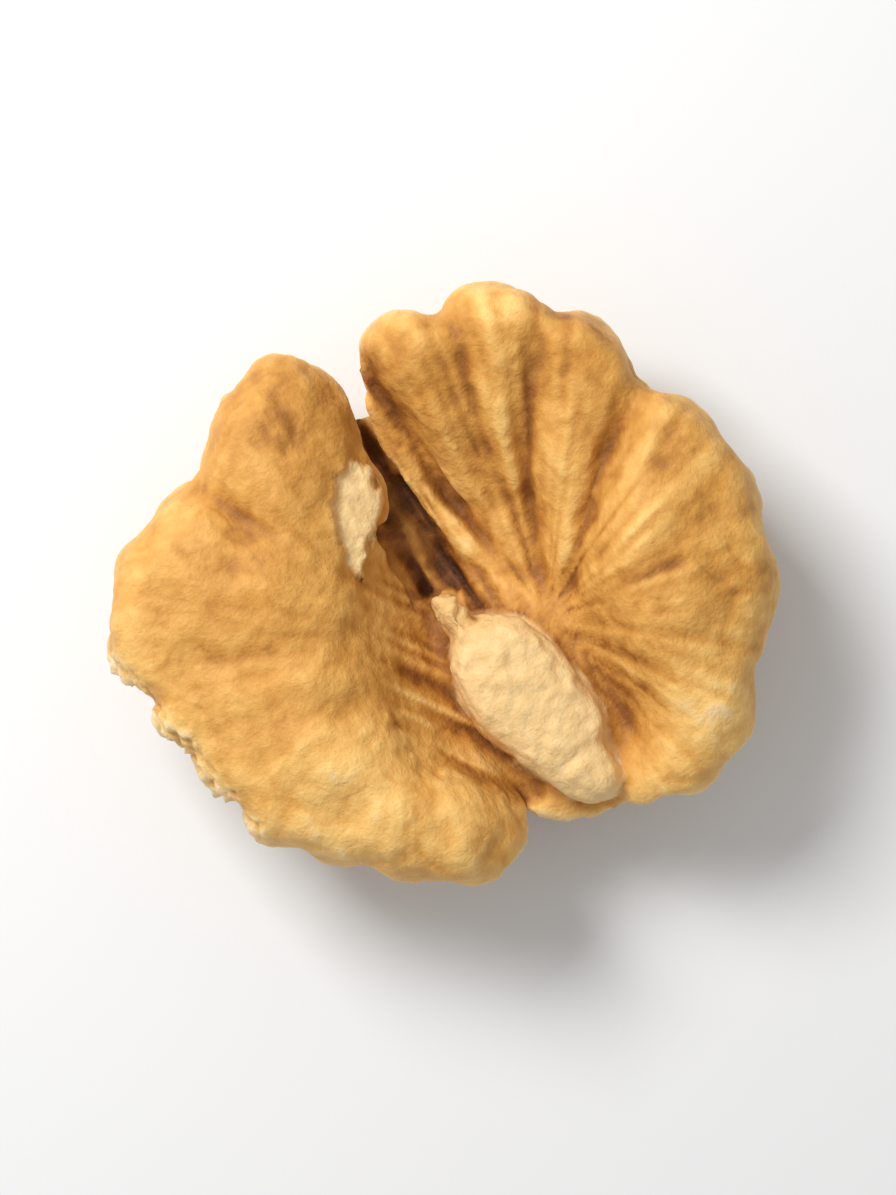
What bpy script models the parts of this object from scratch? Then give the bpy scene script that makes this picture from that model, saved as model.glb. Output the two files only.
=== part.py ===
# Walnut kernel half, lying on its rounded back with the inner face up.
# Own frame: X across the two wings, Y along the groove (the open notch at +Y), Z up.
# Shapes below are laid out in millimetres; the finished body is written in metres.

import math

import bmesh
import bpy
import numpy as np

# Driving dimensions, millimetres.
SPAN_X = 31.6          # across the wings
LENGTH_Y = 29.8        # along the groove
HEIGHT_Z = 13.4        # from the lowest knob to the crest of the inner face
RIM_HEIGHT = 9.0       # height of the widest line round the kernel
WING_DEPTH = 8.8       # how far the smooth body of a wing reaches below that line
WEB_DEPTH = 4.4        # the same for the web that joins the wings
EDGE_DROP = 0.6        # least drop from the inner face to the edge of a wing
WING_THINNEST = 0.4
DOME_POWER = 2.6       # how full the underside of a wing is, 2 being a round ball
ROLL_SHARE = 0.2       # outer share of a wing over which the face rolls down to the rim
FACE_START = 6.0       # height where the finish of the inner face starts to take hold
FACE_FULL = 8.0        # height where it is in full force
BALL_SEGMENTS = 144    # facets of the ball each wing is drawn from
BALL_RINGS = 64
OUTLINE_STEPS = 5      # points a wing's outline gets between two given ones
DETAIL_STEPS = 4       # the same for the scar, slope and chip
PATH_STEPS = 6         # the same along a furrow
SKIN_GRID = 0.27       # grid the skin is drawn on
FIRST_SOFTENING = 4    # rounds of softening before the folds grow
LAST_SOFTENING = 1     # and after
SKIN_FACETS = 11000    # triangles kept when the skin is thinned out
PLATE_EASE = 0.15      # how loosely the inner face follows its given heights
FURROW_FADE = 0.42     # share of a furrow over which each end dies away
FURROW_END = 0.1       # share of the depth left at the very end
FURROW_WIDE = 1.35     # width of a furrow at its outer end, as a share of the given width
FURROW_NARROW = 0.65   # and at its inner end
FURROW_CORE = 0.7      # share of the depth taken by the sharp middle of a furrow
FURROW_SPREAD = 2.2    # how much wider its soft shoulders are
SCAR_TOP = 10.6
SCAR_FALL = 1.0        # drop of the scar from its upper end to its lower end
SCAR_FOOT = 6.0
SCAR_BEVEL = 0.7
SCAR_DOME = 0.35       # rise of the scar's middle over its edge
SPUR_FALL = 1.1        # drop of the torn spur at the scar's upper end
SCAR_RISE = 2.4        # distance from the scar's edge to its full height
SLOPE_DROP = 0.9       # step down from the left wing's crest to its inner slope
STEP_NARROW = 0.9      # width of that step at the scar's end
STEP_WIDE = 2.2        # and at the open end of the groove
CHIP_LEVEL = 10.6      # height the chip is broken down to
CHIP_SHARE = 0.6       # how nearly flat the break is

# How the folds of the back grow.
SEED = 7
FOLD_NEAR = 22         # rounds of spreading that set the width of a fold
FOLD_FAR = 36          # further rounds that set the gap to the next one
FOLD_STEPS = 26
FOLD_GAIN = 8.0
FOLD_SWELL = 0.62      # how flat the tops of the folds are
FOLD_SINK = 0.8        # share of a fold's relief that lies below the smooth body
CREASE_DEPTH = 1.75    # depth of the creases between the folds
RIB_START = 6.6        # height where the folds begin to follow the ribs of the rim
RIB_FULL = 8.6         # height where they follow them fully
CREASE_FULL = 6.6      # height up to which the creases keep their full depth
CREASE_END = 11.2      # height where they have died away
PIT_DEPTH = 0.30       # hollows deeper than this are partly filled
PIT_FILL = 2.5         # rise for each millimetre past that depth
PIT_REACH = 24         # rounds of spreading over which a hollow's depth is judged
PIT_SOFTENING = 6
REST_HEIGHT = 0.9      # height below which the lowest knobs are flattened
REST_SQUASH = 0.4

# The kernel's colour.
SKIN_COLOUR = (0.62, 0.37, 0.15)
SKIN_ROUGHNESS = 0.58

# Widest line of each wing and of the web, seen from above, and the middle each is built round.
RIGHT_OUTLINE = [
    (1.4, 5.0), (1.8, 8.4), (2.8, 11.7), (4.4, 12.9), (6.0, 12.7), (7.2, 11.5), (8.6, 11.8),
    (10.2, 11.4), (11.7, 9.9), (12.3, 8.6), (13.6, 7.3), (14.3, 5.0), (13.9, 3.4), (15.2, 1.0),
    (15.8, -1.2), (15.9, -3.6), (15.2, -5.9), (14.4, -8.3), (12.9, -10.2), (11.0, -11.8),
    (9.6, -13.4), (8.1, -14.9), (6.2, -15.3), (4.3, -15.3), (2.8, -14.5), (1.6, -13.4),
    (1.3, -9.0), (1.4, -4.0), (1.4, 1.0)]
LEFT_OUTLINE = [
    (-1.9, 3.0), (-0.4, 4.6), (0.3, 6.2), (0.3, 8.0), (0.9, 9.7), (1.3, 11.7), (0.4, 13.9),
    (-1.5, 14.4), (-3.9, 13.9), (-5.6, 12.6), (-7.4, 11.6), (-10.2, 11.1), (-12.8, 10.1),
    (-15.0, 7.6), (-15.7, 5.8), (-15.1, 3.5), (-15.6, 2.1), (-15.0, 0.4), (-15.1, -1.0),
    (-14.4, -3.6), (-14.6, -5.0), (-12.9, -7.4), (-10.8, -9.5), (-9.6, -11.1), (-7.1, -13.1),
    (-5.2, -13.3), (-3.5, -12.4), (-2.6, -9.6), (-2.0, -5.0), (-1.8, 0.0)]
WEB_OUTLINE = [
    (0.9, 9.4), (3.0, 7.5), (4.6, 2.0), (5.0, -4.0), (4.4, -10.0), (3.0, -13.6), (0.6, -14.2),
    (-2.2, -12.6), (-4.2, -8.0), (-5.0, -3.0), (-4.2, 2.0), (-1.8, 7.5)]
RIGHT_MIDDLE = (8.2, -1.5)
LEFT_MIDDLE = (-7.4, 0.5)
WEB_MIDDLE = (0.6, -3.0)

# Where the ribs of each wing come together, and the crests of the folds where they cross the rim.
RIGHT_HILUM = (3.6, -3.9)
LEFT_HILUM = (-2.2, -3.6)
RIGHT_FOLDS = [
    (1.6, 9.6), (4.4, 12.9), (9.9, 11.3), (13.7, 6.6), (15.3, 0.2), (15.6, -4.6), (13.9, -9.0),
    (8.9, -14.1), (5.3, -15.4), (2.2, -14.1)]
LEFT_FOLDS = [
    (1.6, 11.4), (-1.4, 14.3), (-4.2, 13.8), (-9.0, 11.3), (-12.4, 10.3), (-15.6, 6.2),
    (-15.5, 2.2), (-15.0, -1.0), (-14.6, -4.9), (-12.2, -8.2), (-9.9, -10.8), (-6.4, -13.3),
    (-3.5, -12.2)]

# Heights of the inner face: x, y, z.
RIGHT_FACE = [
    # crest
    (2.6, 9.6, 9.8), (5.0, 10.6, 11.6), (8.8, 9.8, 12.4), (12.2, 6.2, 12.3), (13.4, 2.2, 12.2),
    (13.6, -2.5, 12.4), (12.6, -6.8, 12.3), (10.2, -10.2, 12.0), (7.4, -12.4, 11.6),
    (4.6, -12.9, 10.4), (3.0, -13.2, 9.4),
    # fan and cushion
    (2.4, 6.2, 8.4), (4.6, 6.0, 10.2), (7.8, 5.4, 11.4), (10.2, 2.6, 11.7), (10.8, -1.6, 12.9),
    (10.6, -5.2, 13.0), (8.6, -8.6, 12.6), (6.2, -10.4, 11.3), (2.6, 2.4, 7.4), (4.6, 2.0, 8.9),
    (6.8, 0.2, 9.8), (7.8, -2.6, 11.8), (7.4, -5.6, 12.2), (6.2, -7.6, 11.2), (3.4, -3.9, 8.0),
    (5.2, -3.4, 9.0), (4.9, -6.2, 9.2), (4.4, -8.8, 8.8), (4.0, -11.0, 8.4), (1.2, -1.2, 6.8),
    (1.0, -6.0, 8.0), (1.0, -12.4, 7.4)]
LEFT_FACE = [
    # crest
    (-0.2, 11.8, 11.4), (-3.0, 12.0, 12.3), (-6.2, 10.6, 12.3), (-9.6, 8.6, 12.7),
    (-12.2, 5.4, 12.7), (-12.9, 1.2, 12.5), (-12.4, -3.0, 12.5), (-10.6, -6.8, 12.5),
    (-8.0, -9.8, 12.4), (-5.2, -11.6, 11.9),
    # shoulder
    (-1.6, 8.8, 11.9), (-4.2, 8.0, 12.7), (-7.2, 6.0, 13.0), (-9.0, 2.6, 13.3),
    (-9.2, -1.0, 13.3), (-8.9, -4.6, 13.3), (-7.6, -7.6, 13.1), (-5.4, -9.9, 12.1),
    # slope down to the groove
    (0.0, 8.4, 10.6), (-0.2, 6.4, 10.2), (-2.2, 5.8, 11.2), (-4.2, 4.6, 12.0), (-5.4, 2.2, 12.3),
    (-6.2, -0.8, 12.3), (-6.8, -3.8, 12.2), (-6.4, -6.0, 11.9), (-4.6, -8.8, 10.9),
    (-3.2, -10.8, 9.4), (-1.6, 3.6, 9.4), (-2.9, 1.0, 9.4), (-3.8, -1.2, 9.6), (-4.3, -4.0, 9.4),
    (-3.9, -6.6, 8.6), (-2.4, -9.0, 7.6), (-1.2, -1.0, 6.4), (-1.4, -4.0, 7.0),
    (-1.8, -6.4, 7.2), (-1.2, -12.6, 7.0)]
WEB_FACE = [
    (0.9, 9.0, 6.4), (0.8, 5.4, 5.6), (0.7, 1.6, 5.2), (0.8, -1.2, 6.6), (2.0, -2.8, 7.6),
    (0.4, -5.0, 8.2), (0.6, -9.0, 8.2), (0.8, -12.4, 7.4), (-1.2, -12.6, 7.0),
    (3.4, -3.9, 7.9), (4.4, -8.8, 8.6), (3.6, 2.0, 7.6), (-1.2, -1.0, 6.2), (-1.8, -6.4, 7.0),
    (-3.6, -6.6, 8.2), (-3.8, -1.2, 8.4), (-2.6, 2.0, 7.4)]

# The pale scar where the two halves were joined.
SCAR = [
    (0.1, -2.0), (1.9, -3.1), (2.8, -5.3), (3.1, -7.9), (3.1, -9.4), (2.3, -10.8), (2.1, -12.4),
    (1.2, -13.2), (-0.1, -12.5), (-1.0, -10.7), (-2.0, -7.6), (-2.2, -5.4), (-1.7, -3.5),
    (-0.8, -2.3), (-0.9, -1.0), (-0.4, -0.2), (0.1, -0.7)]

# Furrows of the inner face: path, depth, width.
FURROWS = [
    ([(2.7, 14.0), (2.9, 11.6), (3.0, 8.0), (2.8, 4.4), (3.2, 0.2), (3.5, -1.8)], 2.0, 0.50),
    ([(7.8, 11.9), (7.0, 8.6), (5.9, 5.2), (4.7, 0.4), (4.1, -2.4)], 1.1, 0.60),
    ([(5.4, 11.0), (5.2, 7.4), (4.6, 3.4), (4.0, 0.4), (3.8, -2.0)], 0.6, 0.40),
    ([(11.4, 8.2), (9.6, 6.0), (7.4, 3.1), (5.2, -0.8), (4.4, -2.9)], 1.5, 0.60),
    ([(9.4, 8.4), (7.8, 5.2), (5.8, 1.2), (4.6, -1.6), (4.2, -3.2)], 0.6, 0.40),
    ([(14.6, 3.5), (12.2, 2.1), (9.4, 0.2), (6.4, -2.6), (4.7, -4.0)], 1.9, 0.75),
    ([(7.0, -2.6), (5.6, -4.8), (4.7, -7.4), (4.1, -10.4), (3.2, -13.2)], 0.4, 0.90),
    ([(-7.8, 12.9), (-7.0, 10.4), (-5.8, 7.8), (-4.8, 6.2)], 1.0, 0.90),
    ([(-15.0, 4.6), (-11.2, 3.3), (-7.8, 1.8), (-5.0, 0.6)], 0.45, 1.20),
    ([(-14.6, 0.9), (-11.9, 0.0), (-8.8, -1.4), (-6.2, -2.8)], 0.40, 1.10),
    ([(-12.6, -7.4), (-10.0, -6.4), (-7.4, -6.6)], 0.35, 1.20)]

# Where the left wing drops from its crest to the groove, and a chip broken from its edge.
SLOPE = [
    (-2.4, 5.2), (-4.4, 2.3), (-5.0, -0.8), (-5.8, -3.1), (-6.3, -5.0), (-5.8, -7.4),
    (-4.2, -9.4), (-3.2, -11.2), (-1.4, -11.6), (-1.0, -8.0), (-1.6, -5.0), (-0.8, -2.6),
    (0.6, 0.0), (0.6, 2.6), (-0.9, 4.6)]
CHIP = [
    (0.1, 7.6), (-0.8, 7.8), (-1.9, 6.8), (-2.8, 5.3), (-3.2, 3.9), (-2.9, 2.8), (-1.9, 3.7),
    (-0.4, 5.0), (0.2, 6.3)]


def clear_scene():
    for thing in list(bpy.data.objects):
        bpy.data.objects.remove(thing)


def read_skin(body):
    count = len(body.data.vertices)
    places, normals = np.empty(count * 3), np.empty(count * 3)
    body.data.vertices.foreach_get("co", places)
    body.data.vertices.foreach_get("normal", normals)
    return places.reshape(-1, 3), normals.reshape(-1, 3)


def write_skin(body, places):
    body.data.vertices.foreach_set("co", places.ravel())
    body.data.update()


def smooth_path(points, steps, closed=False):
    """Catmull-Rom curve through the points."""
    points = [np.array(p, float) for p in points]
    if closed:
        chain = [points[-1]] + points + points[:2]
    else:
        chain = [2 * points[0] - points[1]] + points + [2 * points[-1] - points[-2]]
    out = []
    for a, b, c, d in zip(chain, chain[1:], chain[2:], chain[3:]):
        for t in np.arange(steps) / steps:
            out.append(0.5 * (2 * b + (c - a) * t + (2 * a - 5 * b + 4 * c - d) * t * t
                              + (3 * b - a - 3 * c + d) * t ** 3))
    if not closed:
        out.append(points[-1])
    return np.array(out)


def smooth_step(low, high, value):
    t = np.clip((value - low) / (high - low), 0, 1)
    return t * t * (3 - 2 * t)


def thin_plate(controls):
    """A smooth sheet through the control heights, as a function of (n, 2) places."""
    controls = np.array(controls, float)
    spots, heights = controls[:, :2], controls[:, 2]

    def bend(distance):
        distance = np.maximum(distance, 1e-6)
        return distance ** 2 * np.log(distance)

    count = len(spots)
    grid = bend(np.linalg.norm(spots[:, None] - spots[None], axis=2)) + PLATE_EASE * np.eye(count)
    flat = np.c_[np.ones(count), spots]
    system = np.block([[grid, flat], [flat.T, np.zeros((3, 3))]])
    weights = np.linalg.solve(system, np.r_[heights, 0, 0, 0])

    def height(xy):
        reach = bend(np.linalg.norm(xy[:, None] - spots[None], axis=2))
        return reach @ weights[:count] + weights[count] + xy @ weights[count + 1:]

    return height


def path_distance(xy, path):
    """Distance of each place from a path, and the share of the path reached there."""
    best = np.full(len(xy), 1e9)
    share = np.zeros(len(xy))
    lengths = np.linalg.norm(path[1:] - path[:-1], axis=1)
    done = 0
    for start, end, length in zip(path[:-1], path[1:], lengths):
        step = end - start
        t = np.clip((xy - start) @ step / (step @ step), 0, 1)
        distance = np.linalg.norm(xy - start - t[:, None] * step, axis=1)
        nearer = distance < best
        best[nearer] = distance[nearer]
        share[nearer] = (done + t[nearer] * length) / lengths.sum()
        done += length
    return best, share


def inside_distance(xy, outline):
    """Distance of each place from a closed outline, positive inside it."""
    loop = smooth_path(outline, DETAIL_STEPS, closed=True)
    distance, _ = path_distance(xy, np.r_[loop, loop[:1]])
    inside = np.zeros(len(xy), bool)
    for (x1, y1), (x2, y2) in zip(loop, np.roll(loop, -1, axis=0)):
        if y1 != y2:
            spans = (y1 > xy[:, 1]) != (y2 > xy[:, 1])
            inside ^= spans & (xy[:, 0] < x1 + (xy[:, 1] - y1) * (x2 - x1) / (y2 - y1))
    return np.where(inside, distance, -distance)


def spreader(body):
    """A function that averages values over neighbouring points, a number of rounds."""
    ends = np.empty(len(body.data.edges) * 2, np.int32)
    body.data.edges.foreach_get("vertices", ends)
    one, other = ends.reshape(-1, 2).T
    count = len(body.data.vertices)
    links = np.bincount(ends, minlength=count)

    def spread(values, rounds):
        for _ in range(rounds):
            around = np.bincount(one, values[other], count) + np.bincount(other, values[one], count)
            values = (values + around / links) / 2
        return values

    return spread


def pillow(name, outline, middle, depth, face_controls):
    """A ball drawn out to the outline: the inner face on top, a dome below."""
    bpy.ops.mesh.primitive_uv_sphere_add(segments=BALL_SEGMENTS, ring_count=BALL_RINGS, radius=1)
    piece = bpy.context.object
    piece.name = name
    ball, _ = read_skin(piece)
    loop = smooth_path(outline, OUTLINE_STEPS, closed=True) - middle
    turns = np.arctan2(loop[:, 1], loop[:, 0])
    order = np.argsort(turns)
    reach = np.interp(np.arctan2(ball[:, 1], ball[:, 0]), turns[order],
                      np.linalg.norm(loop, axis=1)[order], period=2 * math.pi)
    share = np.clip(np.hypot(ball[:, 0], ball[:, 1]), 0, 1)
    places = middle + ball[:, :2] * reach[:, None]
    face = thin_plate(face_controls)(places)
    rim = np.minimum(RIM_HEIGHT, face - EDGE_DROP)
    out = np.clip((share - 1 + ROLL_SHARE) / ROLL_SHARE, 0, 1)
    top = face - (face - rim) * (1 - np.sqrt(1 - out ** 2))
    bottom = rim - depth * np.sqrt(1 - share ** DOME_POWER)
    bottom = np.minimum(bottom, top - WING_THINNEST)
    upper = ball[:, 2] > -0.001
    write_skin(piece, np.c_[places, np.where(upper, top, bottom)])
    return piece


def scar_plate():
    """The scar's outline raised to a low boss with a rounded edge, falling from end to end."""
    loop = smooth_path(SCAR, DETAIL_STEPS, closed=True)
    bpy.ops.mesh.primitive_circle_add(vertices=len(loop), radius=1, fill_type='NGON')
    plate = bpy.context.object
    plate.name = "scar"
    write_skin(plate, np.c_[loop, np.full(len(loop), SCAR_FOOT)])
    rise = SCAR_TOP - SCAR_FOOT
    bpy.ops.object.mode_set(mode='EDIT')
    bpy.ops.mesh.select_all(action='SELECT')
    bpy.ops.mesh.extrude_region_move(TRANSFORM_OT_translate={"value": (0, 0, rise)})
    bpy.ops.mesh.bevel(offset=SCAR_BEVEL, segments=2)
    bpy.ops.mesh.select_all(action='SELECT')
    bpy.ops.mesh.normals_make_consistent(inside=False)
    bpy.ops.object.mode_set(mode='OBJECT')
    places, _ = read_skin(plate)
    along = (loop[:, 1].max() - places[:, 1]) / np.ptp(loop[:, 1])
    fall = SCAR_FALL * along + SPUR_FALL * smooth_step(-2.6, -0.2, places[:, 1])
    places[:, 2] -= fall * (places[:, 2] > SCAR_FOOT + rise / 2)
    write_skin(plate, places)
    return plate


def modify(body, kind, **settings):
    modifier = body.modifiers.new(kind, kind)
    for name, value in settings.items():
        setattr(modifier, name, value)
    bpy.ops.object.modifier_apply(modifier=modifier.name)


def join(pieces):
    bpy.ops.object.select_all(action='DESELECT')
    for piece in pieces:
        piece.select_set(True)
    bpy.context.view_layer.objects.active = pieces[0]
    bpy.ops.object.join()
    return bpy.context.object


def drop_pockets(body):
    """Keeps the outer skin and drops closed pockets left between the pieces."""
    mesh = bmesh.new()
    mesh.from_mesh(body.data)
    left = set(mesh.verts)
    shells = []
    while left:
        shell = {next(v for v in mesh.verts if v in left)}
        edge_of_shell = list(shell)
        while edge_of_shell:
            near = {e.other_vert(v) for v in edge_of_shell for e in v.link_edges}
            edge_of_shell = list(near - shell)
            shell |= near
        left -= shell
        shells.append(shell)
    outer = max(shells, key=len)
    bmesh.ops.delete(mesh, geom=[v for v in mesh.verts if v not in outer], context='VERTS')
    mesh.to_mesh(body.data)
    mesh.free()


def draw_skin(body, softening):
    """One closed skin round everything, softened a little."""
    modify(body, 'REMESH', mode='VOXEL', voxel_size=SKIN_GRID)
    drop_pockets(body)
    modify(body, 'SMOOTH', factor=0.5, iterations=softening)


def cut_inner_face(body):
    """The furrows, the step down to the left wing's inner slope, and the chip on its edge."""
    places, normals = read_skin(body)
    on_face = smooth_step(FACE_START, FACE_FULL, places[:, 2])
    facing_up = smooth_step(0.0, 0.5, normals[:, 2]) * on_face
    for path, depth, width in FURROWS:
        distance, share = path_distance(places[:, :2], smooth_path(path, PATH_STEPS))
        from_end = np.minimum(share, 1 - share)
        fade = np.clip(from_end / FURROW_FADE + FURROW_END, 0, 1) ** 0.7
        reach = distance / (width * (FURROW_WIDE + (FURROW_NARROW - FURROW_WIDE) * share))
        core = FURROW_CORE * np.exp(-reach ** 1.6)
        shoulders = (1 - FURROW_CORE) * np.exp(-(reach / FURROW_SPREAD) ** 2)
        places[:, 2] -= depth * fade * (core + shoulders) * facing_up
    in_scar = inside_distance(places[:, :2], SCAR)
    step_width = STEP_NARROW + (STEP_WIDE - STEP_NARROW) * smooth_step(-6.0, 0.0, places[:, 1])
    slope = smooth_step(0.0, step_width, inside_distance(places[:, :2], SLOPE) + 0.3)
    slope *= smooth_step(0.0, 0.5, -in_scar)
    chip = smooth_step(-0.2, 0.2, inside_distance(places[:, :2], CHIP))
    on_face = smooth_step(FACE_START, FACE_FULL, places[:, 2])
    places[:, 2] += SCAR_DOME * smooth_step(0.0, SCAR_RISE, in_scar) * facing_up
    places[:, 2] -= SLOPE_DROP * slope * on_face
    places[:, 2] += CHIP_SHARE * (CHIP_LEVEL - places[:, 2]) * chip * facing_up
    write_skin(body, places)


def fold_phase(xy, hilum, crests):
    """Whole numbers on the crests of the folds that cross the rim, halves between them."""
    def turn(points):
        away = np.asarray(points, float) - hilum
        return np.arctan2(away[:, 1], away[:, 0]) % (2 * math.pi)

    crest_turns = np.unwrap(turn(crests))
    if crest_turns[0] > crest_turns[-1]:
        crest_turns = crest_turns[::-1]
    middle = (crest_turns[0] + crest_turns[-1]) / 2
    turns = middle + (turn(xy) - middle + math.pi) % (2 * math.pi) - math.pi
    return np.interp(turns, crest_turns, np.arange(len(crest_turns)))


def grow_folds(body):
    """The folds start from the ribs at the rim and meander over the back."""
    places, normals = read_skin(body)
    spread = spreader(body)
    right = fold_phase(places[:, :2], RIGHT_HILUM, RIGHT_FOLDS)
    left = fold_phase(places[:, :2], LEFT_HILUM, LEFT_FOLDS)
    on_right = places[:, 0] > 0.12 * places[:, 1] + 0.5
    ribs = np.cos(2 * math.pi * np.where(on_right, right, left))
    waves = np.random.RandomState(SEED).uniform(-1, 1, len(places))
    held = smooth_step(RIB_START, RIB_FULL, places[:, 2] + normals[:, 2])
    for _ in range(FOLD_STEPS):
        near = spread(waves, FOLD_NEAR)
        waves = np.tanh(FOLD_GAIN * (near - spread(near, FOLD_FAR)))
        waves += (ribs - waves) * held
    waves = spread(waves, FOLD_NEAR // 2)
    high = np.clip(0.5 + FOLD_SWELL * waves, 0, 1)
    swell = np.sqrt(high * (2 - high)) - FOLD_SINK
    back = 1 - smooth_step(CREASE_FULL, CREASE_END, places[:, 2] + 2 * normals[:, 2])
    back *= 1 - smooth_step(0.0, 0.5, normals[:, 2])
    places += normals * (back * CREASE_DEPTH * swell)[:, None]
    write_skin(body, places)
    # the deepest hollows between the folds are partly filled
    places, normals = read_skin(body)
    around = np.stack([spread(places[:, axis], PIT_REACH) for axis in range(3)], axis=1)
    pit = spread(np.einsum("ij,ij->i", around - places, normals), PIT_SOFTENING)
    places += normals * (back * PIT_FILL * np.maximum(pit - PIT_DEPTH, 0))[:, None]
    # the lowest knobs are a little flattened, so the kernel lies still
    level = places[:, 2].min() + REST_HEIGHT
    below = np.maximum(level - places[:, 2], 0)
    places[:, 2] += (1 - REST_SQUASH) * below
    write_skin(body, places)


def thin_out(body):
    """Fewer, larger triangles where the skin is smooth."""
    modify(body, 'TRIANGULATE')
    modify(body, 'DECIMATE', ratio=SKIN_FACETS / len(body.data.polygons))


def fit_to_size(body):
    """Exact outside dimensions, in metres, bottom centre at the origin."""
    places, _ = read_skin(body)
    low, high = places.min(axis=0), places.max(axis=0)
    middle = (low + high) / 2
    places = (places - (middle[0], middle[1], low[2])) / (high - low)
    write_skin(body, places * np.array([SPAN_X, LENGTH_Y, HEIGHT_Z]) * 0.001)


def paint(body):
    skin = bpy.data.materials.new("walnut_skin")
    skin.use_nodes = True
    surface = skin.node_tree.nodes["Principled BSDF"]
    surface.inputs["Base Color"].default_value = (*SKIN_COLOUR, 1)
    surface.inputs["Roughness"].default_value = SKIN_ROUGHNESS
    body.data.materials.clear()
    body.data.materials.append(skin)


def main():
    clear_scene()
    body = join([
        pillow("right wing", RIGHT_OUTLINE, RIGHT_MIDDLE, WING_DEPTH, RIGHT_FACE),
        pillow("left wing", LEFT_OUTLINE, LEFT_MIDDLE, WING_DEPTH, LEFT_FACE),
        pillow("web", WEB_OUTLINE, WEB_MIDDLE, WEB_DEPTH, WEB_FACE),
        scar_plate()])
    draw_skin(body, FIRST_SOFTENING)
    cut_inner_face(body)
    grow_folds(body)
    draw_skin(body, LAST_SOFTENING)
    thin_out(body)
    fit_to_size(body)
    body.name = body.data.name = "walnut_half"
    body.data.shade_smooth()
    paint(body)


main()
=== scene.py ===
import math

import bmesh
import bpy
import numpy as np
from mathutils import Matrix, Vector


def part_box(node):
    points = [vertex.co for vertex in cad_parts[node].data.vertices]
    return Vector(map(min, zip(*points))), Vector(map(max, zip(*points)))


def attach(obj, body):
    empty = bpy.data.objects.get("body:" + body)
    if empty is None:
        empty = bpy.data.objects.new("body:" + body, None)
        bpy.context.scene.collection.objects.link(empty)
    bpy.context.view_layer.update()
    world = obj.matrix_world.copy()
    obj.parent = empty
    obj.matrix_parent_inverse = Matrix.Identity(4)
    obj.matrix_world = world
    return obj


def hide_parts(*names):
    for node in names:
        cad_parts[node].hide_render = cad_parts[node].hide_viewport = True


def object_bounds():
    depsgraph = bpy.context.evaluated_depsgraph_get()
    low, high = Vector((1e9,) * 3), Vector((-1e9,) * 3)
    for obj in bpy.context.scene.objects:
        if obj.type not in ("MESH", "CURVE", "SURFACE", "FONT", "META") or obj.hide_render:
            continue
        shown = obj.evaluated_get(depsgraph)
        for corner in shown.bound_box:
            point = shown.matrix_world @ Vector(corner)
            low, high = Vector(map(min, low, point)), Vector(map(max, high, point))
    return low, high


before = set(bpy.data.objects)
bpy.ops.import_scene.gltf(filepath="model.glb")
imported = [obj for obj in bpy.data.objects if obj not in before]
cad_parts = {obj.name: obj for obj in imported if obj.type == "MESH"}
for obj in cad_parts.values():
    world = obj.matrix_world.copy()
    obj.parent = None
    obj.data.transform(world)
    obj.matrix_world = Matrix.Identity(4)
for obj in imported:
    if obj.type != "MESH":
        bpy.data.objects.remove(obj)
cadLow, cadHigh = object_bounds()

# One half of a walnut kernel, lying on its knobbly back with the inner face up.
# X runs across the two wings, Y along the groove between them, Z up.
# The form is laid out in millimetres, then fitted to the box of the CAD node.

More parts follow.
